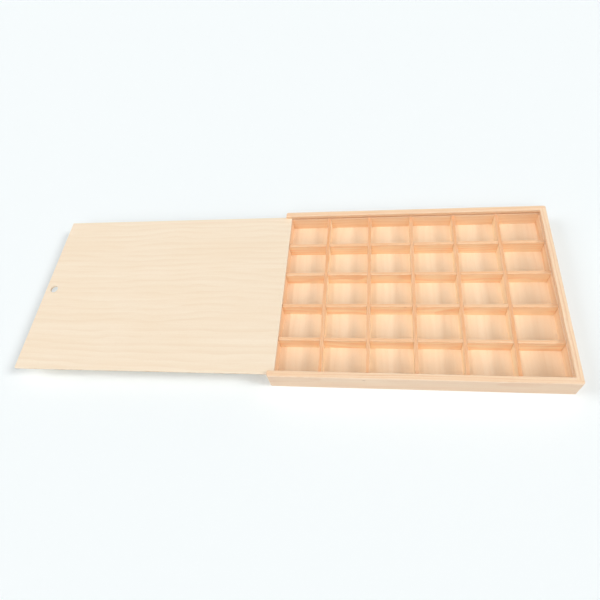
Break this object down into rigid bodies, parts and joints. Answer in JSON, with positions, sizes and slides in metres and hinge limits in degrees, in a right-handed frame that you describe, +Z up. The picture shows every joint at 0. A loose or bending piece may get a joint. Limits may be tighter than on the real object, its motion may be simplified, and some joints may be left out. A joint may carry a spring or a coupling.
{
  "type": "compartment storage box",
  "caption": "Shallow wooden box divided into a grid of compartments, with a thin board lid that slides in grooves and has a finger hole.",
  "frame": {"origin": "middle of the box's underside, on the surface that it stands on", "axes": "+X along the lid's travel, towards the closed end; +Y across the box, towards the back rail; +Z up"},
  "size_m": [0.785, 0.29, 0.034],
  "materials": {
    "rail_wood": "fine-sanded light solid wood, bare",
    "divider_wood": "fine-sanded light solid wood, bare",
    "bottom_board": "pale sanded plywood, bare",
    "lid_board": "pale sanded plywood, bare"
  },
  "bodies": {
    "box": {"front_rail": "rail_wood", "back_rail": "rail_wood", "right_end": "rail_wood", "left_end": "rail_wood", "bottom_panel": "bottom_board", "long_divider_1": "divider_wood", "long_divider_2": "divider_wood", "long_divider_3": "divider_wood", "long_divider_4": "divider_wood", "cross_divider_1": "divider_wood", "cross_divider_2": "divider_wood", "cross_divider_3": "divider_wood", "cross_divider_4": "divider_wood", "cross_divider_5": "divider_wood"},
    "lid": {"lid": "lid_board"}
  },
  "joints": [
    {"name": "lid_slide", "type": "slide", "parent": "box", "child": "lid", "axis": [1, 0, 0], "range_m": [-0.012, 0.385]}
  ]
}
